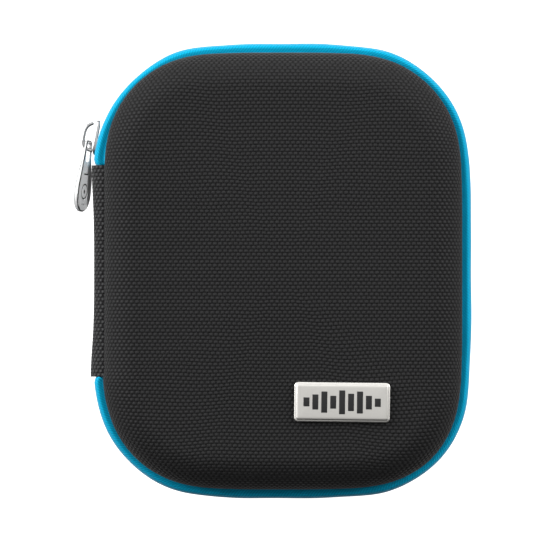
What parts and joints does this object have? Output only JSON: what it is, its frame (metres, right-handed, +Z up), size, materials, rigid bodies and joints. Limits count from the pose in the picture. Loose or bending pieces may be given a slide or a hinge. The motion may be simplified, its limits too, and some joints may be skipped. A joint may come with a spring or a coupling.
{
  "type": "zipped carrying case",
  "caption": "Small moulded zip case for audio gear, with a cloth spine, mesh pocket, coil zip, metal slider with pull tab and a metal badge.",
  "frame": {"origin": "middle of the flat underside of the base, the case lying on its back with the zip closed", "axes": "+Z up, out of the lid; +Y along the longer side, away from the badge; the cloth spine is at -X and the zip runs round the other sides"},
  "size_m": [0.1052, 0.1204, 0.0431],
  "materials": {
    "cover_cloth": "coarse plain weave",
    "spine_cloth": "coarse plain weave",
    "eva_foam": "matt moulded foam",
    "lining_cloth": "brushed knit",
    "zip_tape": "twill tape",
    "zip_coil": "moulded coil",
    "binding_tape": "ribbed tape",
    "pocket_mesh": "knitted net",
    "elastic": "ribbed elastic",
    "slider_metal": "bright plated",
    "badge_metal": "satin",
    "badge_dark": "satin black"
  },
  "bodies": {
    "base": {"base_fabric_cover": "cover_cloth", "base_foam_shell": "eva_foam", "base_lining": "lining_cloth", "base_rim_binding": "binding_tape", "base_zip_tape": "zip_tape", "base_zip_coil": "zip_coil", "spine_webbing": "spine_cloth", "spine_lining": "lining_cloth"},
    "lid": {"lid_fabric_cover": "cover_cloth", "lid_foam_shell": "eva_foam", "lid_lining": "lining_cloth", "lid_rim_binding": "binding_tape", "lid_zip_tape": "zip_tape", "lid_zip_coil": "zip_coil", "mesh_pocket": "pocket_mesh", "pocket_elastic": "elastic", "badge_plate": "badge_metal", "badge_inlay": "badge_dark"},
    "slider": {"slider_body": "slider_metal", "slider_crown": "slider_metal"},
    "pull": {"pull_tab": "slider_metal"}
  },
  "joints": [
    {"name": "lid_hinge", "type": "hinge", "parent": "base", "child": "lid", "pos_m": [-0.0502, 0, 0.021], "axis": [0, -1, 0], "range_deg": [0, 175], "deforming": ["lid_zip_tape", "lid_zip_coil", "spine_webbing", "spine_lining"]},
    {"name": "slider_travel", "type": "hinge", "parent": "base", "child": "slider", "pos_m": [-0.0165, 0.0267, 0.021], "axis": [0, 0, 1], "range_deg": [-75, 0]},
    {"name": "pull_swing", "type": "hinge", "parent": "slider", "child": "pull", "pos_m": [-0.05144, 0.03421, 0.021], "axis": [0, 0, 1], "range_deg": [-150, 0]}
  ]
}
